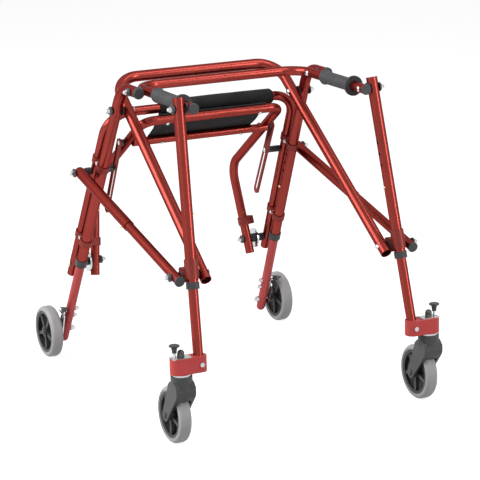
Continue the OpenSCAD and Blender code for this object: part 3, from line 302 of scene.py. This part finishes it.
# where black washers, spacers, caps and knobs lie in the fastener groups
DARK_PARTS = {
    "cross_bolts": lambda g: g.band(g.side(), *KNEE_SPACER),
    "bar_ends": lambda g: g.math("MAXIMUM", g.above(g.side(), BAR_SPACER_IN),
                                 g.below(g.axis(Y), BAR_CAP_BACK)),
    "leg_bolts": lambda g: g.below(g.side(), LEG_WASHER_OUT),
    "brace_ends": lambda g: g.math("MAXIMUM", g.band(g.side(), *BRACE_WASHERS),
                                   g.below(g.axis(Y), BRACE_CAP_BACK)),
    "seat_bolts": lambda g: g.band(g.side(), *SEAT_WASHERS),
    "slot_pins": lambda g: g.above(g.side(), SLOT_SPACER_IN),
    "rear_axle": lambda g: g.above(g.side(), AXLE_HEAD_IN),
    "lock_knob": lambda g: g.above(g.axis(Z), KNOB_FLOOR),
}
TUBE = anodised("tube_red", RED, rough=0.25, clear=0.05, metal=0.86)
LOWER_TUBE = anodised("lower_tube_red", LOWER, rough=0.42, clear=0.0, metal=0.35)
BRACKET = anodised("bracket_red", SATIN, rough=0.40, clear=0.0, metal=0.5)
CASTER_BLOCK = anodised("caster_block_red", BLOCK, rough=0.45, clear=0.0, metal=0.25)
PLASTIC = moulded("dark_plastic", CHARCOAL, rough=0.48)
LEVER = moulded("lever_plastic", LEVER_GREY, rough=0.45)
HUB = moulded("hub_plastic", HUB_GREY, rough=0.5)
GRIP = moulded("grip_rubber", GRIP_GREY, rough=0.62, grain_scale=2200.0, depth=0.0002)
TYRE = make_tyre()
BRASS = make_brass()
FINISH = {
    "rear_inner": LOWER_TUBE,
    "caster_block": CASTER_BLOCK,
    "tube_clamps": BRACKET,
    "knee_brackets": BRACKET,
    "seat_blocks": BRACKET,
    "strut": BRACKET,
    "rear_plastics": PLASTIC,
    "leg_collars": PLASTIC,
    "brake_lever": LEVER,
    "grip": GRIP,
    "fork": make_fork(),
    "rear_bolts": plated("plated_steel"),
    "caster_hardware": make_caster_steel(),
    "caster_hub": HUB,
    "rear_hub": HUB,
    "caster_tyre": TYRE,
    "rear_tyre": TYRE,
    "front_button": BRASS,
    "rear_button": BRASS,
    "brace_button": BRASS,
}
for group, dark_mask in DARK_PARTS.items():
    FINISH[group] = plated("plated_" + group, dark_mask)


def dress_nodes():
    """Gives each CAD node its finish; every plain tube is TUBE."""
    for name, obj in NODES.items():
        base = name[:-2] if name[-2:] in ("_l", "_r") else name
        obj.data.materials.clear()
        obj.data.materials.append(FINISH.get(base, TUBE))


dress_nodes()


# soft pieces
def object_from(name, verts, faces, mat):
    mesh = bpy.data.meshes.new(name)
    mesh.from_pydata([tuple(v) for v in verts], [], faces)
    mesh.update()
    bm = bmesh.new()
    bm.from_mesh(mesh)
    bmesh.ops.recalc_face_normals(bm, faces=bm.faces)
    bm.to_mesh(mesh)
    bm.free()
    for p in mesh.polygons:
        p.use_smooth = True
    mesh.materials.append(mat)
    obj = bpy.data.objects.new(name, mesh)
    bpy.context.scene.collection.objects.link(obj)
    return obj


def make_pad_material():
    g = Graph("pad_foam")
    grain = g.noise(scale=1600.0, detail=4.0)
    tint = g.clouded(*FOAM_TONES, scale=30.0)
    g.bump(grain, strength=0.5, distance=0.0003)
    return g.set(Base_Color=tint, Roughness=g.span(grain, lo=0.6, hi=0.8),
                 Specular_IOR_Level=FABRIC_SPECULAR, Sheen_Weight=FABRIC_SHEEN)


def make_cloth_material():
    g = Graph("sling_cloth")
    warp = g.math("SINE", g.math("MULTIPLY", g.axis(X), WARP_WAVES))
    down = g.math("SUBTRACT", g.axis(Y), g.axis(Z))
    weft = g.math("SINE", g.math("MULTIPLY", down, WEFT_WAVES))
    weave = g.math("MULTIPLY", warp, weft)
    tint = g.clouded(*CLOTH_TONES, scale=40.0)
    g.bump(weave, strength=0.35, distance=0.0003)
    return g.set(Base_Color=tint,
                 Roughness=g.span(weave, lo=0.62, hi=0.8, start=-1.0, end=1.0),
                 Specular_IOR_Level=FABRIC_SPECULAR, Sheen_Weight=FABRIC_SHEEN)


PAD_LENGTH = 0.296
PAD_SHIFT = 0.033
PAD_RADIUS = 0.0195
PAD_CROWN = 0.0007
BORE_RADIUS = 0.0112
BORE_STEPS = 8
BORE_LIP = 0.0004
PAD_AXIS = (0.11024, 0.645)
PAD_RINGS = 120
PAD_SIDES = 72
PAD_ROUND = 0.009
PAD_DRAW = 0.72
PAD_LUMPS = 0.00035
LUMP_ALONG = 26.0
LUMP_ROUND = 1.6
PAD_END = 0.03
GATHER_DEPTH = 0.0005
GATHER_FOLDS = 13.0
FOLD_WANDER = 2.0
FOLD_SCALE = 0.7
END_TUCK = 0.0004
SEAM_ANGLE = math.radians(-40.0)
SEAM_DEPTH = 0.0011
SEAM_WIDTH = 0.0012
SEAM_LIP = 0.0003
SEAM_LIP_AT = 0.003
SEAM_LIP_WIDTH = 0.0015


def pad_radius(s):
    """Crowned roll: fullest in the middle, drawn in round both ends."""
    edge = min(s, PAD_LENGTH - s)
    r = PAD_RADIUS - PAD_CROWN * (2.0 * s / PAD_LENGTH - 1.0) ** 2
    if edge < PAD_ROUND:
        q = 1.0 - edge / PAD_ROUND
        r -= PAD_ROUND * PAD_DRAW * (1.0 - math.sqrt(max(0.0, 1.0 - q * q)))
    return r


def pad_relief(s, a):
    """Foam unevenness, gathers at the ends and the glued seam, at length s and angle a."""
    p = Vector((s * LUMP_ALONG, math.cos(a) * LUMP_ROUND, math.sin(a) * LUMP_ROUND))
    inner = min(1.0, min(s, PAD_LENGTH - s) / PAD_END)
    rise = PAD_LUMPS * noise.noise(p) * inner
    folds = math.sin(GATHER_FOLDS * a + FOLD_WANDER * noise.noise(p * FOLD_SCALE))
    rise += (1.0 - inner) * (GATHER_DEPTH * folds - END_TUCK)
    turn = a - SEAM_ANGLE
    off = math.atan2(math.sin(turn), math.cos(turn)) * PAD_RADIUS
    rise -= SEAM_DEPTH * math.exp(-(off / SEAM_WIDTH) ** 2)
    return rise + SEAM_LIP * math.exp(-((abs(off) - SEAM_LIP_AT) / SEAM_LIP_WIDTH) ** 2)


def pad_profile():
    """(length, radius, outer) rings: along the outside, then back through the bore."""
    rings = []
    for i in range(PAD_RINGS + 1):
        s = PAD_LENGTH * (0.5 - 0.5 * math.cos(math.pi * i / PAD_RINGS))
        rings.append((s, pad_radius(s), True))
    for i in range(BORE_STEPS + 1):
        s = PAD_LENGTH * (1.0 - i / BORE_STEPS)
        s = min(PAD_LENGTH - BORE_LIP, max(BORE_LIP, s))
        rings.append((s, BORE_RADIUS, False))
    return rings


def make_pad():
    profile = pad_profile()
    verts, faces = [], []
    for s, r, outer in profile:
        for k in range(PAD_SIDES):
            a = 2.0 * math.pi * k / PAD_SIDES
            rr = r + pad_relief(s, a) if outer else r
            verts.append(Vector((PAD_SHIFT - PAD_LENGTH / 2 + s,
                                 PAD_AXIS[0] + rr * math.cos(a),
                                 PAD_AXIS[1] + rr * math.sin(a))))
    n = len(profile)
    for i in range(n):
        here, there = i * PAD_SIDES, (i + 1) % n * PAD_SIDES
        for k in range(PAD_SIDES):
            m = (k + 1) % PAD_SIDES
            faces.append((here + k, here + m, there + m, there + k))
    pad = object_from("back_pad_foam", verts, faces, make_pad_material())
    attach(pad, "rear_frame")
    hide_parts("back_pad")


SLING_TOP = Vector((0.0, 0.057, 0.628))
SLING_DIR = Vector((0.0, 74.0, -62.0)).normalized()
SLING_UP = Vector((0.0, -SLING_DIR.z, SLING_DIR.y))
SLING_SPAN = 0.096
SLING_T = 0.0022
CLOTH_GAP = 0.0003
TUBE_TOP = 0.0111 + CLOTH_GAP
TUBE_LOW = 0.0096 + CLOTH_GAP
HALF_TOP = 0.137
HALF_LOW = 0.135
TAPER_START = 0.008
TAPER_END = SLING_SPAN - 0.010
SLING_SAG = 0.005
HEM_TOP = math.radians(60.0)
HEM_LOW = math.radians(71.0)
CLOTH_ROWS = 44
HEM_ROWS = 8
CLOTH_COLS = 96
SLACK = 0.0012
SLACK_SCALE = (22.0, 30.0)
SLACK_PLANE = 3.0
RIPPLE = 0.0008
RIPPLE_WAVES = 90.0
RIPPLE_WANDER = 2.5
WANDER_SCALE = (9.0, 14.0)
WANDER_PLANE = 1.0
RIM_WIDTH = 0.006
RIM_EXTRA = 0.0004


def sling_path():
    """Middle line of the cloth as (along, up) pairs, from the front hem to the rear hem."""
    half = SLING_T / 2
    pts = []
    for i in range(HEM_ROWS, 0, -1):
        a = HEM_TOP * i / HEM_ROWS
        pts.append((-(TUBE_TOP + half) * math.sin(a), (TUBE_TOP + half) * math.cos(a)))
    for i in range(CLOTH_ROWS + 1):
        t = i / CLOTH_ROWS
        rest = TUBE_TOP + (TUBE_LOW - TUBE_TOP) * t + half
        pts.append((SLING_SPAN * t, rest - SLING_SAG * math.sin(math.pi * t)))
    for i in range(1, HEM_ROWS + 1):
        a = HEM_LOW * i / HEM_ROWS
        pts.append((SLING_SPAN + (TUBE_LOW + half) * math.sin(a), (TUBE_LOW + half) * math.cos(a)))
    return pts


def half_width(u):
    t = (u - TAPER_START) / (TAPER_END - TAPER_START)
    return HALF_TOP + (HALF_LOW - HALF_TOP) * min(1.0, max(0.0, t))


def cloth_slack(x, q, u, free):
    """Small wrinkles, none on the hems; they grow towards the side edges, where q is 1."""
    soft = noise.noise(Vector((x * SLACK_SCALE[0], u * SLACK_SCALE[1], SLACK_PLANE)))
    wander = noise.noise(Vector((x * WANDER_SCALE[0], u * WANDER_SCALE[1], WANDER_PLANE)))
    phase = x * RIPPLE_WAVES + RIPPLE_WANDER * wander
    return free * (SLACK * soft + RIPPLE * math.sin(phase) * abs(q))


def cloth_grid(path):
    """Rows of (point, normal, half thickness) over the cloth's middle surface."""
    grid = []
    for i, (u, v) in enumerate(path):
        a = path[max(0, i - 1)]
        b = path[min(len(path) - 1, i + 1)]
        tangent = Vector((b[0] - a[0], b[1] - a[1])).normalized()
        normal = Vector((-tangent.y, tangent.x))
        out = SLING_DIR * normal.x + SLING_UP * normal.y
        free = math.sin(math.pi * min(1.0, max(0.0, u / SLING_SPAN)))
        w = half_width(u)
        line = []
        for k in range(CLOTH_COLS + 1):
            q = 2.0 * k / CLOTH_COLS - 1.0
            x = q * w
            p = SLING_TOP + SLING_DIR * u + SLING_UP * v + Vector((x, 0.0, 0.0))
            half = SLING_T / 2 + (RIM_EXTRA * free if w - abs(x) < RIM_WIDTH else 0.0)
            line.append((p + out * cloth_slack(x, q, u, free), out, half))
        grid.append(line)
    return grid


def make_sling():
    path = sling_path()
    rows = len(path)
    grid = cloth_grid(path)
    verts = [p + n * h for line in grid for p, n, h in line]
    verts += [p - n * h for line in grid for p, n, h in line]
    cols = CLOTH_COLS + 1
    under = rows * cols
    faces = []
    for i in range(rows - 1):
        for k in range(CLOTH_COLS):
            a, d = i * cols + k, (i + 1) * cols + k
            faces.append((a, a + 1, d + 1, d))
            faces.append((under + d, under + d + 1, under + a + 1, under + a))
        for k in (0, CLOTH_COLS):
            a, b = i * cols + k, (i + 1) * cols + k
            faces.append((a, b, under + b, under + a))
    for k in range(CLOTH_COLS):
        for i in (0, rows - 1):
            a = i * cols + k
            faces.append((a, a + 1, under + a + 1, under + a))
    sling = object_from("sling_cloth", verts, faces, make_cloth_material())
    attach(sling, "seat")
    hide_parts("seat_sling")


make_pad()
make_sling()

# studio
FLOOR_HALF = 30.0
FLOOR_PALE = (0.50, 0.50, 0.50, 1.0)
FLOOR_GREY = (0.40, 0.40, 0.40, 1.0)
FLOOR_GLOW = 0.80
ROOM_FRONT = 0.12
ROOM_BACK = 0.4
ROOM_SPAN = (-0.35, 0.45)
AIM = (0.0, 0.0, 0.4)
LAMPS = {
    "key": {"at": (-3.2, 0.4, 2.5), "size": (4.2, 2.4), "power": 185.0},
    "strip": {"at": (2.2, -3.1, 1.7), "size": (0.7, 2.6), "power": 60.0},
    "top": {"at": (1.0, -1.1, 3.2), "size": (2.8, 0.6), "power": 28.0},
}


def background_rays(tree):
    """1 for the rays that show the white background: camera, glossy and transmission rays."""
    path = tree.nodes.new("ShaderNodeLightPath")
    seen = path.outputs["Is Camera Ray"]
    for ray in ("Is Glossy Ray", "Is Transmission Ray"):
        either = tree.nodes.new("ShaderNodeMath")
        either.operation = "MAXIMUM"
        tree.links.new(seen, either.inputs[0])
        tree.links.new(path.outputs[ray], either.inputs[1])
        seen = either.outputs[0]
    return seen


def make_floor():
    """White floor that keeps the shadow; diffuse light off it is a dimmer grey."""
    mesh = bpy.data.meshes.new("floor")
    s = FLOOR_HALF
    mesh.from_pydata([(-s, -s, 0.0), (s, -s, 0.0), (s, s, 0.0), (-s, s, 0.0)], [], [(0, 1, 2, 3)])
    floor = bpy.data.objects.new("floor", mesh)
    bpy.context.scene.collection.objects.link(floor)
    mat = bpy.data.materials.new("floor_white")
    mat.use_nodes = True
    tree = mat.node_tree
    tree.nodes.clear()
    out = tree.nodes.new("ShaderNodeOutputMaterial")
    pale = tree.nodes.new("ShaderNodeBsdfDiffuse")
    pale.inputs["Color"].default_value = FLOOR_PALE
    glow = tree.nodes.new("ShaderNodeEmission")
    glow.inputs["Strength"].default_value = FLOOR_GLOW
    seen = tree.nodes.new("ShaderNodeAddShader")
    tree.links.new(pale.outputs[0], seen.inputs[0])
    tree.links.new(glow.outputs[0], seen.inputs[1])
    grey = tree.nodes.new("ShaderNodeBsdfDiffuse")
    grey.inputs["Color"].default_value = FLOOR_GREY
    mix = tree.nodes.new("ShaderNodeMixShader")
    tree.links.new(background_rays(tree), mix.inputs[0])
    tree.links.new(grey.outputs[0], mix.inputs[1])
    tree.links.new(seen.outputs[0], mix.inputs[2])
    tree.links.new(mix.outputs[0], out.inputs["Surface"])
    mesh.materials.append(mat)


def make_world():
    """White to the camera and in reflections; its light on the object is dimmer from the front."""
    world = bpy.data.worlds.new("studio")
    bpy.context.scene.world = world
    world.use_nodes = True
    tree = world.node_tree
    back = tree.nodes["Background"]
    back.inputs["Color"].default_value = (1.0, 1.0, 1.0, 1.0)
    coord = tree.nodes.new("ShaderNodeTexCoord")
    split = tree.nodes.new("ShaderNodeSeparateXYZ")
    tree.links.new(coord.outputs["Generated"], split.inputs[0])
    room = tree.nodes.new("ShaderNodeMapRange")
    room.interpolation_type = "SMOOTHSTEP"
    tree.links.new(split.outputs["Y"], room.inputs["Value"])
    room.inputs["From Min"].default_value = ROOM_SPAN[0]
    room.inputs["From Max"].default_value = ROOM_SPAN[1]
    room.inputs["To Min"].default_value = ROOM_FRONT
    room.inputs["To Max"].default_value = ROOM_BACK
    level = tree.nodes.new("ShaderNodeMapRange")
    tree.links.new(background_rays(tree), level.inputs["Value"])
    tree.links.new(room.outputs[0], level.inputs["To Min"])
    level.inputs["To Max"].default_value = 1.0
    tree.links.new(level.outputs[0], back.inputs["Strength"])


def area_light(name, at, size, power):
    data = bpy.data.lights.new(name, "AREA")
    data.shape = "RECTANGLE"
    data.size, data.size_y = size
    data.energy = power
    lamp = bpy.data.objects.new(name, data)
    lamp.location = at
    lamp.rotation_euler = (Vector(AIM) - Vector(at)).to_track_quat("-Z", "Y").to_euler()
    bpy.context.scene.collection.objects.link(lamp)


make_floor()
make_world()
for lamp_name, lamp_set in LAMPS.items():
    area_light(lamp_name, **lamp_set)
